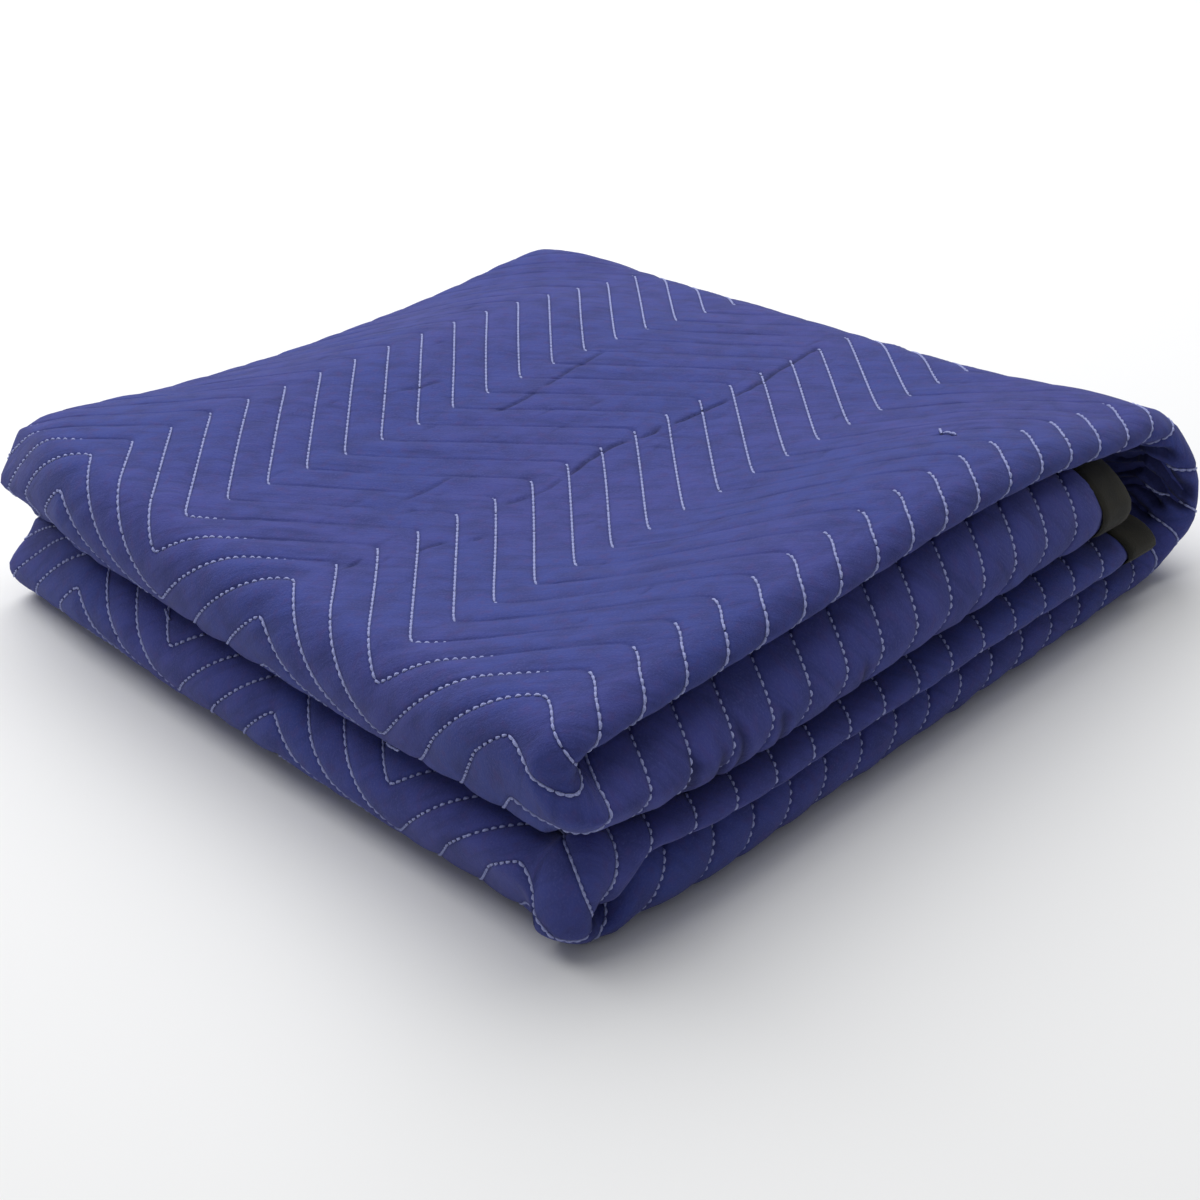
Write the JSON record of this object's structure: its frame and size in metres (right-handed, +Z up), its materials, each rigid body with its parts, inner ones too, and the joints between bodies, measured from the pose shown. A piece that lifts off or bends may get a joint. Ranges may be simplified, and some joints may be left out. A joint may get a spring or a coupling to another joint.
{
  "type": "quilted moving blanket",
  "caption": "Folded quilted moving blanket with zigzag stitching and a bound edge, stacked flat to pad and protect furniture in transit.",
  "frame": {"origin": "on the floor, under the middle of the folded stack", "axes": "+Z up; X along the strip that the cloth is folded into, with its one wide turn at +X and its two tight turns at -X; the strip's closed folds face -Y and its free edges +Y"},
  "size_m": [0.4873, 0.5127, 0.124],
  "materials": {
    "quilted_cloth": "matte woven cloth, royal blue, quilted with pale thread",
    "edge_binding": "matte woven tape, near black"
  },
  "bodies": {
    "root": {"quilted_cloth": "quilted_cloth", "binding_end_lower": "edge_binding", "binding_end_upper": "edge_binding", "binding_side_inner": "edge_binding", "binding_side_outer": "edge_binding"}
  },
  "joints": []
}
